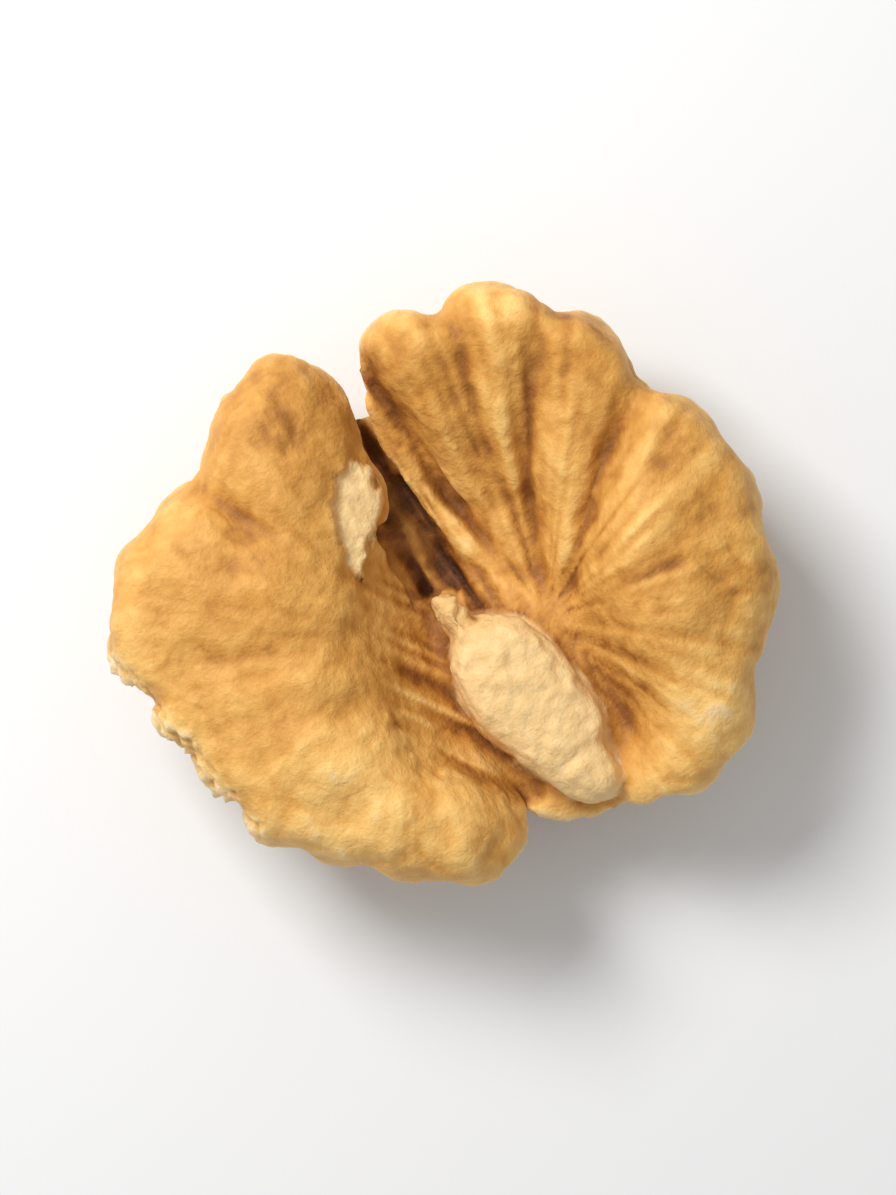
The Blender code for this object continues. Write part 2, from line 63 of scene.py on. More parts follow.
kernel = {
    "node": "walnut_half",
    "slot": "walnut_skin",
    "seed": 7,
    "roughGrid": 0.27,       # grid of the first skin, on which the folds grow
    "skinGrid": 0.213,       # grid of the finished skin
    "roughSoftening": 4,     # rounds of softening that each skin gets
    "skinSoftening": 1,
    "rimHeight": 9.0,        # height of the widest line round the kernel
    "rightDepth": 8.8,       # how far the smooth body of each wing reaches below that line
    "leftDepth": 8.8,
    "webDepth": 4.4,         # the same for the web between the wings
    "ballFacets": (144, 64),     # of the ball each wing is drawn from
    "domePower": 2.6,        # how full the underside of a wing is, 2 being a round ball
    "edgeDrop": 0.6,         # least drop from the face to the edge of a wing
    "rollShare": 0.2,        # outer share of a wing over which the face rolls down to the rim
    "wingThinnest": 0.4,
    "plateEase": 0.15,       # how loosely the inner face follows its given heights
    "outlineSteps": 5,       # points a wing's outline gets between two given ones
    "detailSteps": 4,        # the same for the smaller outlines
    "pathSteps": 6,          # the same along a furrow
    "wingLine": (0.12, 0.5),     # line between the wings: its lean, and its X where Y is 0
    "foldNear": 22,          # rounds of spreading that set the width of a fold
    "foldFar": 36,           # further rounds that set the gap to the next one
    "foldSteps": 26,
    "foldGain": 8.0,
    "foldSwell": 0.62,       # how flat the tops of the folds are
    "foldSink": 0.8,         # share of a fold's relief that lies below the smooth body
    "creaseDepth": 1.75,     # depth of the creases between the folds
    "pitReach": 24,          # rounds of spreading over which a hollow's depth is judged
    "pitSoftening": 6,
    "pitDepth": 0.30,        # hollows deeper than this are partly filled
    "pitFill": 2.5,          # rise for each millimetre past that depth
    "restHeight": 0.9,       # knobs lower than this are flattened a little
    "restSquash": 0.4,
    "rightHilum": (3.6, -3.9),     # where the ribs of each wing come together
    "leftHilum": (-2.2, -3.6),
    "rightMiddle": (8.2, -1.5),
    "leftMiddle": (-7.4, 0.5),
    "webMiddle": (0.6, -3.0),
    "webOutline": [
        (0.9, 9.4), (3.0, 7.5), (4.6, 2.0), (5.0, -4.0), (4.4, -10.0), (3.0, -13.6), (0.6, -14.2),
        (-2.2, -12.6), (-4.2, -8.0), (-5.0, -3.0), (-4.2, 2.0), (-1.8, 7.5)],
    # widest line of each wing, seen from above
    "rightOutline": [
        (1.4, 5.0), (1.8, 8.4), (2.8, 11.7), (4.4, 12.9), (6.0, 12.7), (7.2, 11.5), (8.6, 11.8),
        (10.2, 11.4), (11.7, 9.9), (12.3, 8.6), (13.6, 7.3), (14.3, 5.0), (13.9, 3.4), (15.2, 1.0),
        (15.8, -1.2), (15.9, -3.6), (15.2, -5.9), (14.4, -8.3), (12.9, -10.2), (11.0, -11.8),
        (9.6, -13.4), (8.1, -14.9), (6.2, -15.3), (4.3, -15.3), (2.8, -14.5), (1.6, -13.4),
        (1.3, -9.0), (1.4, -4.0), (1.4, 1.0)],
    "leftOutline": [
        (-1.9, 3.0), (-0.4, 4.6), (0.3, 6.2), (0.3, 8.0), (0.9, 9.7), (1.3, 11.7), (0.4, 13.9),
        (-1.5, 14.4), (-3.9, 13.9), (-5.6, 12.6), (-7.4, 11.6), (-10.2, 11.1), (-12.8, 10.1),
        (-15.0, 7.6), (-15.7, 5.8), (-15.1, 3.5), (-15.6, 2.1), (-15.0, 0.4), (-15.1, -1.0),
        (-14.4, -3.6), (-14.6, -5.0), (-12.9, -7.4), (-10.8, -9.5), (-9.6, -11.1), (-7.1, -13.1),
        (-5.2, -13.3), (-3.5, -12.4), (-2.6, -9.6), (-2.0, -5.0), (-1.8, 0.0)],
    # crests of the folds where they cross the rim
    "rightFolds": [
        (1.6, 9.6), (4.4, 12.9), (9.9, 11.3), (13.7, 6.6), (15.3, 0.2), (15.6, -4.6), (13.9, -9.0),
        (8.9, -14.1), (5.3, -15.4), (2.2, -14.1)],
    "leftFolds": [
        (1.6, 11.4), (-1.4, 14.3), (-4.2, 13.8), (-9.0, 11.3), (-12.4, 10.3), (-15.6, 6.2),
        (-15.5, 2.2), (-15.0, -1.0), (-14.6, -4.9), (-12.2, -8.2), (-9.9, -10.8), (-6.4, -13.3),
        (-3.5, -12.2)],
    # heights of the inner face: x, y, z
    "rightFace": [
        # crest
        (2.6, 9.6, 9.8), (5.0, 10.6, 11.6), (8.8, 9.8, 12.4), (12.2, 6.2, 12.3), (13.4, 2.2, 12.2),
        (13.6, -2.5, 12.4), (12.6, -6.8, 12.3), (10.2, -10.2, 12.0), (7.4, -12.4, 11.6),
        (4.6, -12.9, 10.4), (3.0, -13.2, 9.4),
        # fan and cushion
        (2.4, 6.2, 8.4), (4.6, 6.0, 10.2), (7.8, 5.4, 11.4), (10.2, 2.6, 11.7), (10.8, -1.6, 12.9),
        (10.6, -5.2, 13.0), (8.6, -8.6, 12.6), (6.2, -10.4, 11.3), (2.6, 2.4, 7.4), (4.6, 2.0, 8.9),
        (6.8, 0.2, 9.8), (7.8, -2.6, 11.8), (7.4, -5.6, 12.2), (6.2, -7.6, 11.2), (3.4, -3.9, 8.0),
        (5.2, -3.4, 9.0), (4.9, -6.2, 9.2), (4.4, -8.8, 8.8), (4.0, -11.0, 8.4), (1.2, -1.2, 6.8),
        (1.0, -6.0, 8.0), (1.0, -12.4, 7.4)],
    "leftFace": [
        # crest
        (-0.2, 11.8, 11.4), (-3.0, 12.0, 12.3), (-6.2, 10.6, 12.3), (-9.6, 8.6, 12.7),
        (-12.2, 5.4, 12.7), (-12.9, 1.2, 12.5), (-12.4, -3.0, 12.5), (-10.6, -6.8, 12.5),
        (-8.0, -9.8, 12.4), (-5.2, -11.6, 11.9),
        # shoulder
        (-1.6, 8.8, 11.9), (-4.2, 8.0, 12.7), (-7.2, 6.0, 13.0), (-9.0, 2.6, 13.3),
        (-9.2, -1.0, 13.3), (-8.9, -4.6, 13.3), (-7.6, -7.6, 13.1), (-5.4, -9.9, 12.1),
        # slope down to the groove
        (0.0, 8.4, 10.6), (-0.2, 6.4, 10.2), (-2.2, 5.8, 11.2), (-4.2, 4.6, 12.0), (-5.4, 2.2, 12.3),
        (-6.2, -0.8, 12.3), (-6.8, -3.8, 12.2), (-6.4, -6.0, 11.9), (-4.6, -8.8, 10.9),
        (-3.2, -10.8, 9.4), (-1.6, 3.6, 9.4), (-2.9, 1.0, 9.4), (-3.8, -1.2, 9.6), (-4.3, -4.0, 9.4),
        (-3.9, -6.6, 8.6), (-2.4, -9.0, 7.6), (-1.2, -1.0, 6.4), (-1.4, -4.0, 7.0),
        (-1.8, -6.4, 7.2), (-1.2, -12.6, 7.0)],
    "webFace": [
        (0.9, 9.0, 6.4), (0.8, 5.4, 5.6), (0.7, 1.6, 5.2), (0.8, -1.2, 6.6), (2.0, -2.8, 7.6),
        (0.4, -5.0, 8.2), (0.6, -9.0, 8.2), (0.8, -12.4, 7.4), (-1.2, -12.6, 7.0),
        (3.4, -3.9, 7.9), (4.4, -8.8, 8.6), (3.6, 2.0, 7.6), (-1.2, -1.0, 6.2), (-1.8, -6.4, 7.0),
        (-3.6, -6.6, 8.2), (-3.8, -1.2, 8.4), (-2.6, 2.0, 7.4)],
    # pale scar where the two halves were joined
    "scar": [
        (0.1, -2.0), (1.9, -3.1), (2.8, -5.3), (3.1, -7.9), (3.1, -9.4), (2.3, -10.8), (2.1, -12.4),
        (1.2, -13.2), (-0.1, -12.5), (-1.0, -10.7), (-2.0, -7.6), (-2.2, -5.4), (-1.7, -3.5),
        (-0.8, -2.3), (-0.9, -1.0), (-0.4, -0.2), (0.1, -0.7)],
    "scarTop": 10.6,         # height of the scar's upper end
    "scarFall": 1.0,         # drop of the scar from its upper end to its lower end
    "scarFoot": 6.0,         # height inside the web where it starts
    "scarBevel": 0.7,        # rounding of its edge
    "scarDome": 0.35,        # rise of the scar's middle over its edge
    "spurFall": 1.1,         # drop of the torn spur at the scar's upper end
    "furrowFade": 0.42,      # share of a furrow over which each end dies away
    "furrowEnd": 0.1,        # what is left at the very end, before the power below
    "furrowEndPower": 0.7,   # the lower, the blunter the ends
    "furrowWide": 1.35,      # width at the outer end, as a share of the given width
    "furrowTaper": 0.7,      # how much of that it loses on the way in
    "furrowCore": 0.7,       # share of the depth taken by the sharp middle
    "furrowCorePower": 1.6,  # 1 gives it a sharp bottom, 2 a round one
    "furrowSpread": 2.2,     # how much wider its soft shoulders are
    # furrows of the inner face: path, depth, width
    "furrows": [
        ([(2.7, 14.0), (2.9, 11.6), (3.0, 8.0), (2.8, 4.4), (3.2, 0.2), (3.5, -1.8)], 2.0, 0.50),
        ([(7.8, 11.9), (7.0, 8.6), (5.9, 5.2), (4.7, 0.4), (4.1, -2.4)], 1.1, 0.60),
        ([(5.4, 11.0), (5.2, 7.4), (4.6, 3.4), (4.0, 0.4), (3.8, -2.0)], 0.6, 0.40),
        ([(11.4, 8.2), (9.6, 6.0), (7.4, 3.1), (5.2, -0.8), (4.4, -2.9)], 1.5, 0.60),
        ([(9.4, 8.4), (7.8, 5.2), (5.8, 1.2), (4.6, -1.6), (4.2, -3.2)], 0.6, 0.40),
        ([(14.6, 3.5), (12.2, 2.1), (9.4, 0.2), (6.4, -2.6), (4.7, -4.0)], 1.9, 0.75),
        ([(7.0, -2.6), (5.6, -4.8), (4.7, -7.4), (4.1, -10.4), (3.2, -13.2)], 0.4, 0.90),
        ([(-7.8, 12.9), (-7.0, 10.4), (-5.8, 7.8), (-4.8, 6.2)], 1.0, 0.90),
        ([(-15.0, 4.6), (-11.2, 3.3), (-7.8, 1.8), (-5.0, 0.6)], 0.45, 1.20),
        ([(-14.6, 0.9), (-11.9, 0.0), (-8.8, -1.4), (-6.2, -2.8)], 0.40, 1.10),
        ([(-12.6, -7.4), (-10.0, -6.4), (-7.4, -6.6)], 0.35, 1.20)],
    # where the left wing drops from its crest to the groove
    "slope": [
        (-2.4, 5.2), (-4.4, 2.3), (-5.0, -0.8), (-5.8, -3.1), (-6.3, -5.0), (-5.8, -7.4),
        (-4.2, -9.4), (-3.2, -11.2), (-1.4, -11.6), (-1.0, -8.0), (-1.6, -5.0), (-0.8, -2.6),
        (0.6, 0.0), (0.6, 2.6), (-0.9, 4.6)],
    "slopeDrop": 0.9,
    "slopeSpread": 0.3,      # how far the slope reaches past its outline
    "slopeStep": (0.9, 2.2),     # width of the step at its lower and its upper end
    # floor of the groove, from its open end to the scar
    "groove": [(1.3, 9.4), (0.9, 6.4), (0.5, 3.6), (0.1, 0.8), (0.6, -1.4)],
    "chip": [
        (0.1, 7.6), (-0.8, 7.8), (-1.9, 6.8), (-2.8, 5.3), (-3.2, 3.9), (-2.9, 2.8), (-1.9, 3.7),
        (-0.4, 5.0), (0.2, 6.3)],
    "chipLevel": 10.4,       # height the chip is broken down to
    "chipShare": 0.6,        # how nearly flat the break is
    # stretch of the rim where the skin is frayed
    "frayed": [(-15.8, 6.0), (-15.3, 3.4), (-15.0, 0.8), (-14.7, -2.2), (-14.6, -4.6)],
    # lighter and darker patches of the face, partly the skin's own blotches and partly painted light
    # that lifts spots lying in shade: x, y, radius, strength
    "patches": [
        (9.8, 10.8, 1.8, 0.02), (7.6, 6.4, 1.8, 0.10), (5.0, 10.0, 2.8, -0.21),
        (12.0, 6.0, 3.0, -0.16), (13.8, -1.6, 1.2, 0.10), (12.8, 0.8, 2.6, -0.08),
        (8.4, -6.6, 2.6, -0.08), (7.4, -12.4, 2.6, 0.12), (-1.4, 12.0, 3.6, -0.20),
        (-8.0, 6.5, 3.4, -0.10), (-8.6, -0.5, 3.0, -0.05), (-10.4, -6.4, 4.0, 0.14),
        (-12.0, 3.4, 2.6, 0.06), (4.4, -1.6, 2.0, 0.04), (4.4, -8.6, 1.6, 0.06),
        (-2.6, 1.4, 1.8, 0.10), (2.9, 1.4, 1.0, 0.08), (4.2, -1.8, 1.2, 0.06)],
    # fine streaks: strength, frequency across, frequency along, seed
    "rayHub": (3.4, -4.0),
    "rays": [(1, 11.2, 0.192, 11), (0.6, 25.6, 0.32, 12)],
    "leftRayHub": (-3.0, -1.5),
    "rayLean": 0.08,         # lean of the line between the two sets of rays
    "leftRays": [(0.3, 14.4, 0.256, 13), (0.18, 33.6, 0.48, 14)],
    "slopeTurn": (0.87, 0.49),   # direction across the stripes of the slope
    "slopeStripes": [(1, 1.3, 0.16, 21), (0.7, 3.1, 0.2, 22)],
    "grooveStripes": [(1, 1.7, 0.2, 23), (0.7, 3.7, 0.25, 24)],
    # grains of the surface: strength in millimetres, frequency, seed
    "edgeGrain": [(0.25, 1.6, 31), (0.15, 4.0, 32)],
    "crumbGrain": [(0.10, 3.0, 41)],
    "scarGrain": [(0.12, 1.7, 42)],
    "scarEdgeShare": 0.5,    # share of the edge grain that the scar's outline takes
    "spurGrain": [(0.45, 1.2, 43), (0.25, 2.6, 44)],
    "skinGrain": [(0.19, 0.42, 51), (0.095, 0.9, 52), (0.0475, 2.2, 53)],
    "raggedGrain": [(1, 2.0, 54), (0.6, 3.6, 55)],
    "frayedHeight": 0.22,    # how strong that grain is along the frayed rim
    "grooveHeight": 0.08,    # and on the floor of the groove
    "spurWear": 0.15,        # how much smaller the spur is worn
    "rayHeight": 0.12,
    "slopeStripeHeight": 0.24,
    "grooveStripeHeight": 0.22,
    "lineWidth": (0.30, 0.20),   # painted shade, a dark line in a furrow, at its outer and its inner end
    "lineDepth": 1.5,        # furrows this deep have a line in full
    # hollows that the finish darkens as painted shade, and crests (below zero) that it lightens as a
    # painted highlight: name, rounds of spreading, depth of a full hollow
    "hollows": [("fineHollow", 5, 0.04), ("hollow", 40, 0.22), ("deepHollow", 420, 1.3)],
    # where each thing begins and where it is in full
    "bands": {
        "upward": (0.0, 0.5),            # by how far the skin faces up
        "groundUpward": (0.0, 0.4),
        "face": (6.0, 8.0),              # by height
        "ribs": (6.6, 8.6),
        "creases": (11.2, 6.6),
        "groovePit": (9.2, 6.6),
        "spurDrop": (-2.6, -0.2),        # by Y
        "spurSkin": (-3.4, -1.6),
        "slopeTop": (-6.0, 0.0),
        "scar": (-0.45, -0.15),          # by the distance inside an outline
        "scarDome": (0.0, 2.4),
        "scarSpur": (-0.45, 0.0),
        "besideScar": (0.0, -0.5),
        "awayFromScar": (-0.3, -0.6),
        "chip": (-0.1, 0.2),
        "groove": (2.1, 0.5),            # by the distance from a path
        "frayed": (1.0, 0.3),
        "grooveStripes": (0.2, 0.7),     # by the share of the groove
        "rightWing": (1.2, 2.6),         # by X, with the lean of that line added
        "rays": (0.2, 1.6),              # by the distance from where the rays start
        "leftRays": (3.0, 6.0),
        "cushion": (4.0, 7.0),
        "cushionTurn": (0.9, 0.5),       # by the direction from there, in radians
        "lineStart": (0.05, 0.45),       # by the share of a furrow
        "lineEnd": (0.6, 1.0),
    },
    "cushionFade": 0.2,      # how much fainter the rays are on the cushion
    "lineFade": 0.7,         # how much fainter a line is at its inner end
}


def deselect():
    bpy.ops.object.select_all(action='DESELECT')


def modify(piece, kind, **settings):
    modifier = piece.modifiers.new(kind, kind)
    for name, value in settings.items():
        setattr(modifier, name, value)
    bpy.ops.object.modifier_apply(modifier=modifier.name)


def readSkin(piece):
    count = len(piece.data.vertices)
    places = np.empty(count * 3)
    normals = np.empty(count * 3)
    piece.data.vertices.foreach_get("co", places)
    piece.data.vertices.foreach_get("normal", normals)
    return places.reshape(-1, 3), normals.reshape(-1, 3)


def writeSkin(piece, places):
    piece.data.vertices.foreach_set("co", places.ravel())
    piece.data.update()


def smoothStep(low, high, value):
    t = np.clip((value - low) / (high - low), 0, 1)
    return t * t * (3 - 2 * t)


def band(name, value):
    # 0 where the thing begins, 1 where it is in full
    start, full = kernel["bands"][name]
    return smoothStep(start, full, value)


def smoothPath(points, steps, closed=False):
    # Catmull-Rom curve through the points
    points = [np.array(p, float) for p in points]
    if closed:
        chain = [points[-1]] + points + points[:2]
    else:
        chain = [2 * points[0] - points[1]] + points + [2 * points[-1] - points[-2]]
    curve = []
    for a, b, c, d in zip(chain, chain[1:], chain[2:], chain[3:]):
        for t in np.arange(steps) / steps:
            curve.append(0.5 * (2 * b + (c - a) * t + (2 * a - 5 * b + 4 * c - d) * t * t
                                + (3 * b - a - 3 * c + d) * t ** 3))
    if not closed:
        curve.append(points[-1])
    return np.array(curve)


def thinPlate(controls):
    # a smooth sheet through the control heights
    controls = np.array(controls, float)
    spots = controls[:, :2]
    count = len(spots)

    def bend(distance):
        distance = np.maximum(distance, 1e-6)
        return distance ** 2 * np.log(distance)

    grid = bend(np.linalg.norm(spots[:, None] - spots[None], axis=2))
    grid += kernel["plateEase"] * np.eye(count)
    flat = np.c_[np.ones(count), spots]
    system = np.block([[grid, flat], [flat.T, np.zeros((3, 3))]])
    weights = np.linalg.solve(system, np.r_[controls[:, 2], 0, 0, 0])

    def height(xy):
        reach = bend(np.linalg.norm(xy[:, None] - spots[None], axis=2))
        return reach @ weights[:count] + weights[count] + xy @ weights[count + 1:]

    return height


def noise(points, scale, seed):
    # smooth noise from -1 to 1
    chance = np.random.RandomState(seed)
    order = chance.permutation(256)
    values = chance.uniform(-1, 1, 256)
    points = np.asarray(points) * scale
    cell = np.floor(points).astype(int)
    t = points - cell
    t = t ** 3 * (t * (t * 6 - 15) + 10)
    total = 0
    for corner in np.ndindex(2, 2, 2):
        key = cell + corner
        pick = order[(order[(order[key[:, 0] & 255] + key[:, 1]) & 255] + key[:, 2]) & 255]
        total = total + np.prod(np.where(corner, t, 1 - t), axis=1) * values[pick]
    return total


def grains(places, name):
    return sum(strength * noise(places, scale, seed) for strength, scale, seed in kernel[name])


def streaks(across, along, name):
    # changes fast across and slowly along
    return sum(strength * noise(np.c_[across * fine, along * coarse, 0 * across], 1, seed)
               for strength, fine, coarse, seed in kernel[name])


def pathDistance(xy, path):
    # distance of each place from a path, and the share of the path reached there
    nearest = np.full(len(xy), 1e9)
    share = np.zeros(len(xy))
    lengths = np.linalg.norm(path[1:] - path[:-1], axis=1)
    done = 0
    for start, end, length in zip(path[:-1], path[1:], lengths):
        step = end - start
        t = np.clip((xy - start) @ step / (step @ step), 0, 1)
        distance = np.linalg.norm(xy - start - t[:, None] * step, axis=1)
        nearer = distance < nearest
        nearest[nearer] = distance[nearer]
        share[nearer] = (done + t[nearer] * length) / lengths.sum()
        done += length
    return nearest, share


def insideDistance(xy, outline):
    # distance from a closed outline, positive inside it
    loop = smoothPath(outline, kernel["detailSteps"], closed=True)
    distance, _ = pathDistance(xy, np.r_[loop, loop[:1]])
    inside = np.zeros(len(xy), bool)
    for (x1, y1), (x2, y2) in zip(loop, np.roll(loop, -1, axis=0)):
        spans = (y1 > xy[:, 1]) != (y2 > xy[:, 1])
        if y1 != y2:
            inside ^= spans & (xy[:, 0] < x1 + (xy[:, 1] - y1) * (x2 - x1) / (y2 - y1))
    return np.where(inside, distance, -distance)


def spreader(piece):
    # averages values over neighbouring points, a number of rounds
    ends = np.empty(len(piece.data.edges) * 2, np.int32)
    piece.data.edges.foreach_get("vertices", ends)
    one, other = ends.reshape(-1, 2).T
    count = len(piece.data.vertices)
    links = np.bincount(ends, minlength=count)

    def spread(values, rounds):
        for _ in range(rounds):
            around = np.bincount(one, values[other], count) + np.bincount(other, values[one], count)
            values = (values + around / links) / 2
        return values

    return spread


def wing(side):
    # a ball drawn out to the outline: the inner face on top, a dome below
    deselect()
    segments, rings = kernel["ballFacets"]
    bpy.ops.mesh.primitive_uv_sphere_add(segments=segments, ring_count=rings, radius=1)
    piece = bpy.context.object
    piece.name = side
    ball, _ = readSkin(piece)
    middle = np.array(kernel[side + "Middle"])
    loop = smoothPath(kernel[side + "Outline"], kernel["outlineSteps"], closed=True) - middle
    turns = np.arctan2(loop[:, 1], loop[:, 0])
    order = np.argsort(turns)
    reach = np.interp(np.arctan2(ball[:, 1], ball[:, 0]), turns[order],
                      np.linalg.norm(loop, axis=1)[order], period=2 * math.pi)
    share = np.clip(np.hypot(ball[:, 0], ball[:, 1]), 0, 1)
    places = middle + ball[:, :2] * reach[:, None]
    face = thinPlate(kernel[side + "Face"])(places)
    rim = np.minimum(kernel["rimHeight"], face - kernel["edgeDrop"])
    out = np.clip((share - 1 + kernel["rollShare"]) / kernel["rollShare"], 0, 1)
    top = face - (face - rim) * (1 - np.sqrt(1 - out ** 2))
    bottom = rim - kernel[side + "Depth"] * np.sqrt(1 - share ** kernel["domePower"])
    bottom = np.minimum(bottom, top - kernel["wingThinnest"])
    writeSkin(piece, np.c_[places, np.where(ball[:, 2] > -0.001, top, bottom)])
    return piece


def scarPlate():
    # the scar's outline raised to a low boss with a rounded edge
    loop = smoothPath(kernel["scar"], kernel["detailSteps"], closed=True)
    deselect()
    bpy.ops.mesh.primitive_circle_add(vertices=len(loop), radius=1, fill_type='NGON')
    plate = bpy.context.object
    plate.name = "scar"
    writeSkin(plate, np.c_[loop, np.full(len(loop), kernel["scarFoot"])])
    bpy.ops.object.mode_set(mode='EDIT')
    bpy.ops.mesh.select_all(action='SELECT')
    rise = kernel["scarTop"] - kernel["scarFoot"]
    bpy.ops.mesh.extrude_region_move(TRANSFORM_OT_translate={"value": (0, 0, rise)})
    bpy.ops.mesh.bevel(offset=kernel["scarBevel"], segments=2)
    bpy.ops.mesh.select_all(action='SELECT')
    bpy.ops.mesh.normals_make_consistent(inside=False)
    bpy.ops.object.mode_set(mode='OBJECT')
    places, _ = readSkin(plate)
    along = (loop[:, 1].max() - places[:, 1]) / np.ptp(loop[:, 1])
    fall = kernel["scarFall"] * along + kernel["spurFall"] * band("spurDrop", places[:, 1])
    places[:, 2] -= fall * (places[:, 2] > kernel["scarFoot"] + rise / 2)
    writeSkin(plate, places)
    return plate


def join(pieces):
    deselect()
    for piece in pieces:
        piece.select_set(True)
    bpy.context.view_layer.objects.active = pieces[0]
    bpy.ops.object.join()
    bpy.ops.object.transform_apply(location=True, rotation=True, scale=True)
    return bpy.context.object


def dropPockets(piece):
    # keeps the outer skin and drops closed pockets left between the joined shapes
    mesh = bmesh.new()
    mesh.from_mesh(piece.data)
    left = set(mesh.verts)
    shells = []
    while left:
        shell = {next(v for v in mesh.verts if v in left)}
        border = list(shell)
        while border:
            near = {e.other_vert(v) for v in border for e in v.link_edges}
            border = list(near - shell)
            shell |= near
        left -= shell
        shells.append(shell)
    outer = max(shells, key=len)
    bmesh.ops.delete(mesh, geom=[v for v in mesh.verts if v not in outer], context='VERTS')
    mesh.to_mesh(piece.data)
    mesh.free()


def drawSkin(piece, grid, softening):
    # one closed skin round everything, softened a little
    modify(piece, 'REMESH', mode='VOXEL', voxel_size=grid)
    dropPockets(piece)
    modify(piece, 'SMOOTH', factor=0.5, iterations=softening)


def cutFurrows(piece):
    places, normals = readSkin(piece)
    facingUp = band("upward", normals[:, 2]) * band("face", places[:, 2])
    core = kernel["furrowCore"]
    for path, depth, width in kernel["furrows"]:
        distance, share = pathDistance(places[:, :2], smoothPath(path, kernel["pathSteps"]))
        fromEnd = np.minimum(share, 1 - share) / kernel["furrowFade"] + kernel["furrowEnd"]
        fade = np.clip(fromEnd, 0, 1) ** kernel["furrowEndPower"]
        reach = distance / (width * (kernel["furrowWide"] - kernel["furrowTaper"] * share))
        shoulders = np.exp(-(reach / kernel["furrowSpread"]) ** 2)
        cut = core * np.exp(-reach ** kernel["furrowCorePower"]) + (1 - core) * shoulders
        places[:, 2] -= depth * fade * cut * facingUp
    writeSkin(piece, places)


def foldPhase(xy, hilum, crests):
    # whole numbers on the crests of the folds that cross the rim, halves between them
    def turn(points):
        away = np.asarray(points, float) - hilum
        return np.arctan2(away[:, 1], away[:, 0]) % (2 * math.pi)

    crestTurns = np.unwrap(turn(crests))
    turns = turn(xy)
    if crestTurns[0] > crestTurns[-1]:
        crestTurns = crestTurns[::-1]
    middle = (crestTurns[0] + crestTurns[-1]) / 2
    turns = middle + (turns - middle + math.pi) % (2 * math.pi) - math.pi
    return np.interp(turns, crestTurns, np.arange(len(crestTurns)))


def growFolds(piece):
    # the folds start from the ribs at the rim and meander over the back
    places, normals = readSkin(piece)
    spread = spreader(piece)
    right = foldPhase(places[:, :2], kernel["rightHilum"], kernel["rightFolds"])
    left = foldPhase(places[:, :2], kernel["leftHilum"], kernel["leftFolds"])
    lean, start = kernel["wingLine"]
    ribs = np.cos(2 * math.pi * np.where(places[:, 0] > lean * places[:, 1] + start, right, left))
    chance = np.random.RandomState(kernel["seed"])
    waves = chance.uniform(-1, 1, len(places))
    held = band("ribs", places[:, 2] + normals[:, 2])
    for _ in range(kernel["foldSteps"]):
        near = spread(waves, kernel["foldNear"])
        waves = np.tanh(kernel["foldGain"] * (near - spread(near, kernel["foldFar"])))
        waves += (ribs - waves) * held
    waves = spread(waves, kernel["foldNear"] // 2)
    high = np.clip(0.5 + kernel["foldSwell"] * waves, 0, 1)
    swell = np.sqrt(high * (2 - high)) - kernel["foldSink"]
    back = band("creases", places[:, 2] + 2 * normals[:, 2]) * (1 - band("upward", normals[:, 2]))
    places += normals * (back * kernel["creaseDepth"] * swell)[:, None]
    writeSkin(piece, places)
    places, normals = readSkin(piece)
    # the deepest hollows are partly filled, and the lowest knobs flattened so that it lies still
    around = np.stack([spread(places[:, axis], kernel["pitReach"]) for axis in range(3)], axis=1)
    pit = spread(np.einsum("ij,ij->i", around - places, normals), kernel["pitSoftening"])
    places += normals * (back * kernel["pitFill"] * np.clip(pit - kernel["pitDepth"], 0, None))[:, None]
    level = places[:, 2].min() + kernel["restHeight"]
    below = np.maximum(level - places[:, 2], 0)
    places[:, 2] += (1 - kernel["restSquash"]) * below
    writeSkin(piece, places)


def lookFrom(hub, xy):
    # distance from a hub, and the direction as X and Y
    away = xy - hub
    return np.linalg.norm(away, axis=1), away[:, 0], away[:, 1]


def mapRays(xy):
    # fine ribs that spread from the hilum, fainter on the cushion and on the left wing
    reach, awayX, awayY = lookFrom(kernel["rayHub"], xy)
    turn = np.arctan2(awayY, awayX)
    rays = streaks(turn, reach, "rays") * band("rays", reach)
    rays *= 1 - kernel["cushionFade"] * band("cushion", reach) * band("cushionTurn", turn)
    leftReach, awayX, awayY = lookFrom(kernel["leftRayHub"], xy)
    leftRays = streaks(np.arctan2(awayY, -awayX), leftReach, "leftRays") * band("leftRays", leftReach)
    onRight = band("rightWing", xy[:, 0] + kernel["rayLean"] * xy[:, 1])
    return rays * onRight + leftRays * (1 - onRight)


def mapFurrowShade(xy):
    # painted shade: a dark line along the bottom of each furrow, where shade falls in the crease
    lines = 0
    outer, inner = kernel["lineWidth"]
    for path, depth, _ in kernel["furrows"]:
        distance, share = pathDistance(xy, smoothPath(path, kernel["pathSteps"]))
        fade = band("lineStart", share) * (1 - kernel["lineFade"] * band("lineEnd", share))
        width = outer + (inner - outer) * share
        strength = min(depth / kernel["lineDepth"], 1) ** 2
        lines = np.maximum(lines, strength * fade * np.exp(-(distance / width) ** 2))
    return lines


